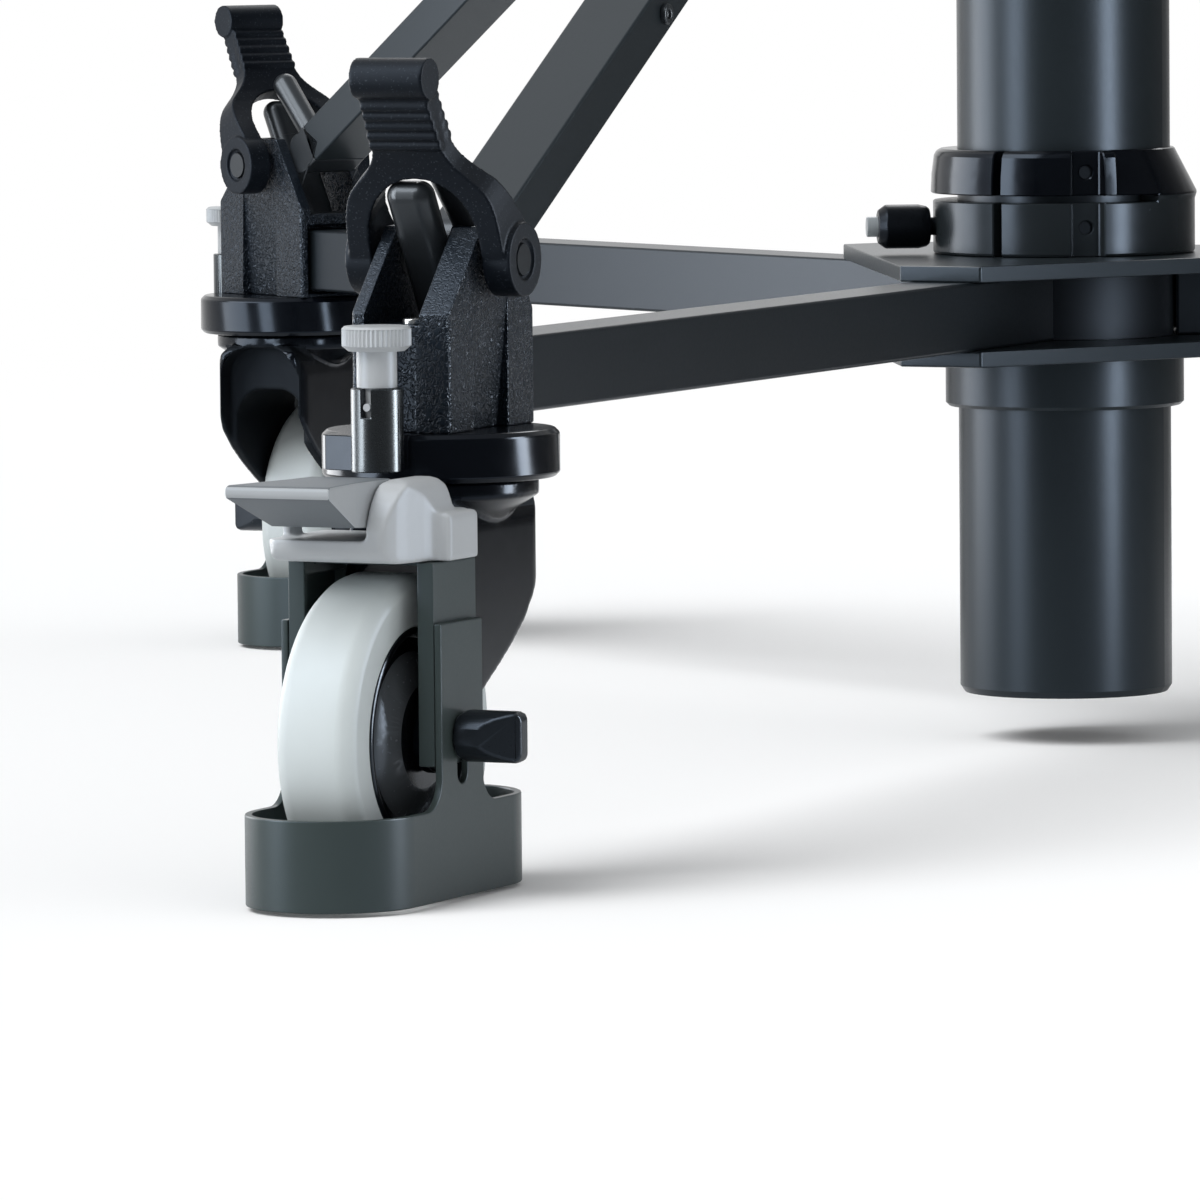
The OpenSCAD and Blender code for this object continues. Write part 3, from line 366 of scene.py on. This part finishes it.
dark_coat = make_powder_coat("satin_anthracite_powder_coat", "23292c", "1c2225", 0.31)
# Painted shade: the legs take a darker copy of the anthracite coat, for the shade they lie in.
leg_painted_shade_coat = make_powder_coat("painted_shade_black_powder_coat", "161b1f", "12171a", 0.33)
guard_coat = make_powder_coat("satin_slate_powder_coat", "3e4746", "363f3e", 0.34)
dress(dark_coat, "column_tube", "hub_top_plate", "hub_bottom_plate", "lower_collar",
      "brace_collar", *on_each_arm("brace_tube"))
dress(leg_painted_shade_coat, "leg_tubes")
dress(guard_coat, *on_each_arm("guard_bracket", "cable_guard"))
round_nodes(0.9, "hub_top_plate", "hub_bottom_plate", "brace_collar")
round_nodes(1.0, "leg_tubes", *on_each_arm("brace_tube"), steps=1, smooth=CRISP_DEGREES)
round_nodes(0.6, *on_each_arm("guard_bracket"))
round_nodes(0.7, *on_each_arm("cable_guard"))


# Hub shade sleeve
# A black sleeve on the column between the two hub plates, where the legs' inner ends meet it.
# It is painted shade and stands in for the deep shadow in that gap. It is cut to the plates'
# spacing.
# Matte, with a faint peel like the coat beside it.
SHADE_SLEEVE_R = 48.9
SHADE_SLEEVE_WALL = 1.3
SHADE_SLEEVE_PLAY = 0.2
SHADE_SLEEVE_ROUND = 0.3
SHADE_SLEEVE_SIDES = 96

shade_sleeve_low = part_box("hub_bottom_plate")[1][2] + SHADE_SLEEVE_PLAY * MM
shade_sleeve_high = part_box("hub_top_plate")[0][2] - SHADE_SLEEVE_PLAY * MM
deselect_all()
bpy.ops.mesh.primitive_cylinder_add(vertices=SHADE_SLEEVE_SIDES, radius=SHADE_SLEEVE_R * MM,
                                    depth=shade_sleeve_high - shade_sleeve_low, end_fill_type="NOTHING",
                                    location=(0.0, 0.0, 0.5 * (shade_sleeve_low + shade_sleeve_high)))
shade_sleeve = bpy.context.object
shade_sleeve.name = "hub_painted_shade_sleeve"
bpy.ops.object.transform_apply(location=True, rotation=True, scale=True)
wall = shade_sleeve.modifiers.new("wall", "SOLIDIFY")
wall.thickness = SHADE_SLEEVE_WALL * MM
wall.offset = -1.0
bpy.ops.object.modifier_apply(modifier="wall")
round_edges(shade_sleeve, SHADE_SLEEVE_ROUND, 2)
# Painted shade: a near-black matte finish that stands in for the shadow between the plates.
painted_shade_sleeve_black = make_powder_coat("painted_shade_matte_black_sleeve", "0c0e11", "090b0d", 0.5)
shade_sleeve.data.materials.append(painted_shade_sleeve_black)
fit_piece(shade_sleeve, "column_tube")


# Clamp collar, column cap and castor forks
# Cast and turned parts in gloss black enamel, flowed out smooth, with narrow bright reflections.
# The collar's lower tier is a lighter charcoal: painted sheen for its brighter reflection. Its
# screws and the hoods' insides are near-black matte: painted shade, where shadow falls in the
# recesses.
ARM_AZIMUTH = {"front": 270.0, "right": 30.0, "left": 150.0}
CASTOR_AZIMUTH = {"front": 270.0, "right": 30.0, "left": 90.0}
SWIVEL_R = 634.0
COLLAR_SPLIT_Z = 244.0
ENAMEL_FLOW_MM = 8.0
ENAMEL_RELIEF_MM = 0.15
MELT_SHARE = 0.5
# The inside of a hood, in millimetres from its swivel axis along and across the castor
HOOD_FRONT = -39.0
HOOD_REAR = 28.0
HOOD_IN = 22.6
HOOD_CROWN_Z = 153.3
HOOD_CROWN_DEPTH = 5.0
CROWN_DOWN = -0.2
FACES_REAR = 0.5


def heading(azimuth):
    """The level direction at this azimuth in degrees."""
    turn = math.radians(azimuth)
    return Vector((math.cos(turn), math.sin(turn), 0.0))


def beside(way):
    """The level direction at a right angle to this one."""
    return Vector((-way.y, way.x, 0.0))


def soften_nodes(skin_mm, passes, *nodes):
    """Shows each CAD node as a moulding whose edges all melt into its faces."""
    softened = []
    for node in nodes:
        piece = merged_copy(node)
        skin = piece.modifiers.new("even_skin", "REMESH")
        skin.mode = "VOXEL"
        skin.voxel_size = skin_mm * MM
        skin.use_smooth_shade = True
        bpy.ops.object.modifier_apply(modifier="even_skin")
        melt = piece.modifiers.new("melted_edges", "SMOOTH")
        melt.factor = MELT_SHARE
        melt.iterations = passes
        bpy.ops.object.modifier_apply(modifier="melted_edges")
        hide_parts(node)
        softened.append(fit_piece(piece, node))
    return softened


def make_gloss_enamel(name, hex_code, roughness):
    """Gloss enamel: deep colour, clear sheen and a very slight flow ripple."""
    material, tree = empty_material(name)
    where = add(tree, "ShaderNodeTexCoord").outputs["Object"]
    flow = add(tree, "ShaderNodeTexNoise", {"Vector": where, "Scale": per_mm(ENAMEL_FLOW_MM),
               "Detail": 1.0})
    ripple = add(tree, "ShaderNodeBump", {"Height": flow.outputs["Fac"], "Strength": 0.08,
                 "Distance": ENAMEL_RELIEF_MM * MM})
    rough = add(tree, "ShaderNodeMapRange", {"Value": flow.outputs["Fac"],
                "To Min": roughness - 0.03, "To Max": roughness + 0.05})
    shader = add(tree, "ShaderNodeBsdfPrincipled", {"Base Color": colour(hex_code),
                 "Roughness": rough.outputs[0], "Normal": ripple.outputs[0],
                 "Specular IOR Level": 0.26, "Specular Tint": colour(COOL_SHEEN)})
    add(tree, "ShaderNodeOutputMaterial", {"Surface": shader.outputs[0]})
    return material


def hood_shade_mask(arm):
    """A test that is true on the faces inside one fork's hood, not on its rear, where shade is
    painted.
    """
    trail = heading(CASTOR_AZIMUTH[arm])
    swivel = heading(ARM_AZIMUTH[arm])

    def chosen(centre, normal):
        out = (centre - swivel * SWIVEL_R * MM) / MM
        along, across = out.dot(trail), out.dot(beside(trail))
        crown = HOOD_CROWN_Z + (HOOD_CROWN_DEPTH if normal.z < CROWN_DOWN else 0.0)
        rear = along > HOOD_REAR and normal.dot(trail) > FACES_REAR
        return abs(across) < HOOD_IN and HOOD_FRONT < along and out.z < crown and not rear

    return chosen


gloss_black = make_gloss_enamel("gloss_black_enamel", "07090e", 0.17)
dress(gloss_black, "clamp_collar", "column_cap", "swivel_rings", *on_each_arm("castor_fork"))
collar_piece = round_nodes(0.5, "clamp_collar", steps=1, smooth=CRISP_DEGREES)[0]
round_nodes(0.6, "column_cap")
# Painted sheen: the collar's lower tier takes a lighter copy of the enamel, for its brighter
# band.
lower_tier_painted_sheen = make_gloss_enamel("painted_sheen_charcoal_enamel", "23282b", 0.24)
finish_faces(collar_piece, lower_tier_painted_sheen, lambda centre, normal: centre.z < COLLAR_SPLIT_Z * MM)
# Painted shade: near-black matte on the collar's screws and inside the hoods, where shadow falls.
painted_shade_coat = make_gloss_enamel("painted_shade_matte_black_coat", "030405", 0.7)
dress(painted_shade_coat, "clamp_screws")
for arm, fork in zip(ARMS, soften_nodes(0.8, 9, *on_each_arm("castor_fork"))):
    finish_faces(fork, painted_shade_coat, hood_shade_mask(arm))


# Swivel rings
# A turned bearing housing in the same enamel, with the lock's guide tube pressed into its lug.
# The tube is burnished steel, dark but clearly metal beside the enamel.
GUIDE_X = 55.0
GUIDE_REACH = 10.9
LUG_TOP_Z = 177.0
LUG_FACE_OUT = 2.0
STEEL_HAZE_MM = 0.4


def make_steel(name, hex_code, roughness, metallic):
    """Turned steel: metallic, with a faint uneven sheen."""
    material, tree = empty_material(name)
    where = add(tree, "ShaderNodeTexCoord").outputs["Object"]
    haze = add(tree, "ShaderNodeTexNoise", {"Vector": where, "Scale": per_mm(STEEL_HAZE_MM),
               "Detail": 2.0})
    rough = add(tree, "ShaderNodeMapRange", {"Value": haze.outputs["Fac"],
                "To Min": roughness - 0.02, "To Max": roughness + 0.03})
    shader = add(tree, "ShaderNodeBsdfPrincipled", {"Base Color": colour(hex_code),
                 "Roughness": rough.outputs[0], "Metallic": metallic})
    add(tree, "ShaderNodeOutputMaterial", {"Surface": shader.outputs[0]})
    return material


def arm_point(arm, along, across, height):
    """A place on an arm in metres, from millimetres outwards, across and up."""
    turn = math.radians(ARM_AZIMUTH[arm])
    return Vector((along * math.cos(turn) - across * math.sin(turn),
                   along * math.sin(turn) + across * math.cos(turn), height)) * MM


def near_guide(centre, normal):
    """True on the guide tubes, above and outside the lugs."""
    for arm in ARMS:
        axis = arm_point(arm, SWIVEL_R + GUIDE_X, 0.0, 0.0)
        lug_face = arm_point(arm, SWIVEL_R + GUIDE_X + LUG_FACE_OUT, 0.0, 0.0)
        clear = centre.z > LUG_TOP_Z * MM or centre.to_2d().length > lug_face.to_2d().length
        if (centre - axis).to_2d().length < GUIDE_REACH * MM and clear:
            return True
    return False


burnished = make_steel("burnished_dark_steel", "4a4f53", 0.27, 0.9)
for ring in round_nodes(0.35, "swivel_rings", steps=1, smooth=CRISP_DEGREES):
    finish_faces(ring, burnished, near_guide)


# Towers
# Sand-cast aluminium under black wrinkle lacquer, machined where the brace and the leg enter.
# The lacquer dries into fine worms on the upright faces and runs thinner on the slopes.
WRINKLE_MM = 2.0
WRINKLE_RELIEF_MM = 0.7


def make_wrinkle_lacquer(name, hex_code):
    """Wrinkle lacquer: dense rounded worms, two across each wave of the noise."""
    material, tree = empty_material(name)
    where = add(tree, "ShaderNodeTexCoord").outputs["Object"]
    worms = add(tree, "ShaderNodeTexNoise", {"Vector": where, "Scale": per_mm(WRINKLE_MM),
                "Detail": 1.0, "Distortion": 0.7})
    centred = add(tree, "ShaderNodeMath", {0: worms.outputs["Fac"], 1: 0.5}, operation="SUBTRACT")
    ridge = add(tree, "ShaderNodeMath", {0: centred.outputs[0]}, operation="ABSOLUTE")
    crest = add(tree, "ShaderNodeMapRange", {"Value": ridge.outputs[0], "From Max": 0.12},
                interpolation_type="SMOOTHSTEP")
    normal = add(tree, "ShaderNodeNewGeometry").outputs["Normal"]
    facing = add(tree, "ShaderNodeSeparateXYZ", {0: normal})
    tilt = add(tree, "ShaderNodeMath", {0: facing.outputs["Z"]}, operation="ABSOLUTE")
    upright = add(tree, "ShaderNodeMapRange", {"Value": tilt.outputs[0], "From Min": 0.25,
                  "From Max": 0.5, "To Min": 1.0, "To Max": 0.12})
    height = add(tree, "ShaderNodeMath", {0: crest.outputs[0], 1: upright.outputs[0]},
                 operation="MULTIPLY")
    bump = add(tree, "ShaderNodeBump", {"Height": height.outputs[0], "Strength": 1.0,
               "Distance": WRINKLE_RELIEF_MM * MM})
    shader = add(tree, "ShaderNodeBsdfPrincipled", {"Base Color": colour(hex_code),
                 "Roughness": 0.34, "Normal": bump.outputs[0], "Specular IOR Level": 0.5,
                 "Specular Tint": colour(COOL_SHEEN)})
    add(tree, "ShaderNodeOutputMaterial", {"Surface": shader.outputs[0]})
    return material


wrinkle_black = make_wrinkle_lacquer("black_wrinkle_lacquer", "0f151c")
dress(wrinkle_black, *on_each_arm("castor_tower"))
round_nodes(0.8, *on_each_arm("castor_tower"))


# Latch levers
# Glass-filled nylon with a soft-touch black skin, moulded in a spark-eroded tool.
# Matte with rounded edges, a fine even grain and pale specks of glass in the skin.
TONE_CLOUD_MM = 25.0
FLECK_MM = 0.8
FLECK_EDGE = (0.71, 0.78)


def make_moulded(name, hex_code, roughness, grain_mm, relief_mm, specular=0.4, fleck_hex=None):
    """Moulded plastic: even colour and fine tool grain, with flecks where they are named."""
    material, tree = empty_material(name)
    where = add(tree, "ShaderNodeTexCoord").outputs["Object"]
    grain = add(tree, "ShaderNodeTexNoise", {"Vector": where, "Scale": per_mm(grain_mm),
                "Detail": 2.0})
    bump = add(tree, "ShaderNodeBump", {"Height": grain.outputs["Fac"], "Strength": 0.6,
               "Distance": relief_mm * MM})
    rough = add(tree, "ShaderNodeMapRange", {"Value": grain.outputs["Fac"],
                "To Min": roughness - 0.06, "To Max": roughness + 0.06})
    cloud = add(tree, "ShaderNodeTexNoise", {"Vector": where, "Scale": per_mm(TONE_CLOUD_MM),
                "Detail": 2.0})
    shade = add(tree, "ShaderNodeMapRange", {"Value": cloud.outputs["Fac"], "To Min": 0.93,
                "To Max": 1.05})
    tone = add(tree, "ShaderNodeMix", {"Factor": 1.0, MIX_A: colour(hex_code),
               MIX_B: shade.outputs[0]}, data_type="RGBA", blend_type="MULTIPLY")
    tint = tone.outputs[MIX_RESULT]
    if fleck_hex:
        fleck = add(tree, "ShaderNodeTexNoise", {"Vector": where, "Scale": per_mm(FLECK_MM),
                    "Detail": 0.0})
        shows = add(tree, "ShaderNodeMapRange", {"Value": fleck.outputs["Fac"],
                    "From Min": FLECK_EDGE[0], "From Max": FLECK_EDGE[1]})
        tint = add(tree, "ShaderNodeMix", {"Factor": shows.outputs[0], MIX_A: tint,
                   MIX_B: colour(fleck_hex)}, data_type="RGBA").outputs[MIX_RESULT]
    shader = add(tree, "ShaderNodeBsdfPrincipled", {"Base Color": tint,
                 "Roughness": rough.outputs[0], "Normal": bump.outputs[0],
                 "Specular IOR Level": specular, "Specular Tint": colour(COOL_SHEEN)})
    add(tree, "ShaderNodeOutputMaterial", {"Surface": shader.outputs[0]})
    return material


soft_touch = make_moulded("soft_touch_black_nylon", "0b0f15", 0.5, 0.7, 0.06, 0.2, "2b3036")
dress(soft_touch, *on_each_arm("latch_lever"))
soften_nodes(0.6, 2, *on_each_arm("latch_lever"))


# Knobs and wheel hubs
# Injection-moulded nylon in black, polished where the tool was polished, so dark with a clear
# soft highlight. The index plunger has a pale button. The hubs' cones are grey: a painted
# reflection that stands in for the light they mirror.
INDEX_AZIMUTH = 210.0
INDEX_Z = 230.4
INDEX_PIN_R = 4.6
INDEX_COLLAR_END = 70.0
INDEX_COLLAR_DROP = 3.2
INDEX_KNOB_END = 83.9
HUB_CONE_R = (19.0, 32.5)
CONE_SIDEWAYS = 0.6
TRAIL = 52.5
AXLE_Z = 62.5


def hub_cone_reflection_mask(centre, normal):
    """True on the sloped faces of a wheel's hub, on both sides, where a grey reflection is
    painted.
    """
    for arm in ARMS:
        trail = heading(CASTOR_AZIMUTH[arm])
        sideways = beside(trail)
        out = centre - (arm_point(arm, SWIVEL_R, 0.0, AXLE_Z) + trail * TRAIL * MM)
        radial = (out - out.dot(sideways) * sideways).length
        sloped = abs(normal.dot(sideways)) > CONE_SIDEWAYS
        if HUB_CONE_R[0] * MM < radial < HUB_CONE_R[1] * MM and sloped:
            return True
    return False


black_nylon = make_moulded("satin_black_nylon", "0a0c0f", 0.3, 0.9, 0.02, 0.2)
wing_nylon = make_moulded("satin_charcoal_nylon", "16191c", 0.3, 0.9, 0.02, 0.5)
button_nylon = make_moulded("pale_grey_button_nylon", "8d9396", 0.3, 0.9, 0.02, 0.5)
hub_nylon = make_moulded("gloss_black_nylon", "0c0e10", 0.2, 2.0, 0.02, 0.4)
# Painted reflection: the hubs' cones are grey, standing in for the light they mirror.
hub_cone_painted_reflection = make_moulded("painted_reflection_grey_nylon", "4a4e52", 0.25, 2.0, 0.02, 0.5)
dress(black_nylon, "index_plunger", "height_lock_knob", "steering_ring")
dress(wing_nylon, *on_each_arm("guard_knob"))
dress(hub_nylon, *on_each_arm("wheel_hub"))
round_nodes(1.2, *on_each_arm("guard_knob"), steps=3)
round_nodes(0.5, "height_lock_knob")
index_out = heading(INDEX_AZIMUTH)
index_knob = round_nodes(0.5, "index_plunger")[0]
index_axis = Vector((0.0, 0.0, INDEX_Z * MM))
# The collar behind the knob stands a little further in than on the solid
for corner in index_knob.data.vertices:
    reach = corner.co.dot(index_out)
    off_axis = (corner.co - index_axis - reach * index_out).length
    if off_axis > INDEX_PIN_R * MM and reach < INDEX_COLLAR_END * MM:
        corner.co -= INDEX_COLLAR_DROP * MM * index_out
finish_faces(index_knob, button_nylon,
             lambda centre, normal: centre.dot(index_out) > INDEX_KNOB_END * MM)
for hub in round_nodes(0.8, *on_each_arm("wheel_hub")):
    finish_faces(hub, hub_cone_painted_reflection, hub_cone_reflection_mask)


# Brakes and directional locks
# Moulded ABS in pale grey: a housing with a rounded hump, a pedal and a knurled knob.
# The pedal is a darker grey on its top faces, and on the faces looking well down, where it is
# painted shade.
PEDAL_TOP_UP = 0.8
SHADED_DOWN = -0.6


def top_or_shaded_underside(centre, normal):
    """True on the faces that look up or well down; those looking down carry painted shade."""
    return normal.z > PEDAL_TOP_UP or normal.z < SHADED_DOWN


pale_abs = make_moulded("pale_grey_abs", "b4b8bb", 0.42, 0.8, 0.02)
mid_abs = make_moulded("mid_grey_abs", "a6aaad", 0.45, 0.8, 0.02)
# Painted shade on the pedal's underside; its top faces are simply a darker grey.
pedal_top_and_painted_shade = make_moulded("dark_grey_top_and_painted_shade", "666b6f", 0.6, 0.6, 0.05)
dress(pale_abs, "lift_guide", *on_each_arm("brake_housing", "lock_plunger"))
dress(mid_abs, *on_each_arm("brake_pedal"))
soften_nodes(0.8, 10, *on_each_arm("brake_housing"))
for pedal in round_nodes(0.9, *on_each_arm("brake_pedal")):
    finish_faces(pedal, pedal_top_and_painted_shade, top_or_shaded_underside)


# Tyres
# Cast polyurethane in a pale, slightly blue grey, turned true after casting.
# Smooth and matte, with rounded shoulders.
tyre_urethane = make_moulded("pale_grey_polyurethane", "cdd5d6", 0.5, 3.0, 0.02)
dress(tyre_urethane, *on_each_arm("wheel_tyre"))
round_nodes(1.6, *on_each_arm("wheel_tyre"), steps=3)


# Bare and blackened steel: pins, axles, screws, lift tube, brace feet
# Drawn bar, zinc-plated or chemically blackened, turned on a lathe.
# The turning is too fine to see, and leaves only an uneven sheen.
plated_steel = make_steel("zinc_plated_steel", "b4b8ba", 0.3, 1.0)
black_steel = make_steel("blackened_steel", "363b40", 0.3, 0.6)
dress(plated_steel, "lift_tube", "brace_pins", *on_each_arm("wheel_axle"))
dress(black_steel, "head_plate", "lever_pins", *on_each_arm("brace_foot"))
round_nodes(0.6, "head_plate", *on_each_arm("brace_foot"))


# Small screws
# Button-head screws driven into the tower floors and the braces' sides.
# Bright zinc in the towers, a small dot against the dark lacquer, and blackened in the braces.
SCREW_R = 4.2
SCREW_H = 2.6
SCREW_SIDES = 36
SOCKET_R = 1.9
SOCKET_SHARE = 0.6
CROWN_SHARE = 0.28
FACES_UP = 0.9
SUNK = 0.2
TOWER_SCREW_R = 661.0
TOWER_SCREW_ACROSS = 2.0
TOWER_FLOOR_Z = 219.0
BRACE_SCREW_R = 456.5
BRACE_SCREW_Z = 334.0


def screw_head(name, radius_mm, height_mm, socket_mm):
    """A round head with a rounded crown and a round socket, standing on the origin."""
    deselect_all()
    bpy.ops.mesh.primitive_cylinder_add(vertices=SCREW_SIDES, radius=radius_mm * MM,
                                        depth=height_mm * MM,
                                        location=(0.0, 0.0, 0.5 * height_mm * MM))
    head = bpy.context.object
    head.name = name
    bpy.ops.object.transform_apply(location=True, rotation=True, scale=True)
    top = [face.index for face in head.data.polygons if face.normal.z > FACES_UP]
    bpy.ops.object.mode_set(mode="EDIT")
    bpy.ops.mesh.select_all(action="DESELECT")
    bpy.ops.object.mode_set(mode="OBJECT")
    for index in top:
        head.data.polygons[index].select = True
    bpy.ops.object.mode_set(mode="EDIT")
    bpy.ops.mesh.inset(thickness=(radius_mm - socket_mm) * MM)
    drilled = (0.0, 0.0, -SOCKET_SHARE * height_mm * MM)
    bpy.ops.mesh.extrude_region_move(TRANSFORM_OT_translate={"value": drilled})
    bpy.ops.object.mode_set(mode="OBJECT")
    round_edges(head, CROWN_SHARE * height_mm, 3)
    return head


def copy_at(model, name, place, turn):
    """A copy with its own mesh, turned and put in place in the mesh itself."""
    twin = bpy.data.objects.new(name, model.data.copy())
    bpy.context.scene.collection.objects.link(twin)
    twin.data.transform(Matrix.Translation(place) @ turn.to_4x4())
    return twin


screw_steel = make_steel("bright_zinc_screw", "d0d3d5", 0.22, 1.0)
model_screw = screw_head("screw_model", SCREW_R, SCREW_H, SOCKET_R)
model_screw.data.materials.append(screw_steel)
upright = Matrix.Identity(3)
brace_low, brace_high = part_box("brace_tube_front")
brace_half = 0.5 * (brace_high[0] - brace_low[0]) / MM
for arm in ARMS:
    floor_place = arm_point(arm, TOWER_SCREW_R, TOWER_SCREW_ACROSS, TOWER_FLOOR_Z - SUNK)
    tower_screw = copy_at(model_screw, f"tower_screw_{arm}", floor_place, upright)
    fit_piece(tower_screw, f"castor_tower_{arm}")
    side_place = arm_point(arm, BRACE_SCREW_R, brace_half - SUNK, BRACE_SCREW_Z)
    sideways = arm_point(arm, 0.0, 1.0, 0.0)
    side_turn = Vector((0.0, 0.0, 1.0)).rotation_difference(sideways).to_matrix()
    brace_screw = copy_at(model_screw, f"brace_screw_{arm}", side_place, side_turn)
    brace_screw.data.materials[0] = black_steel
    fit_piece(brace_screw, f"brace_tube_{arm}")
bpy.data.objects.remove(model_screw)
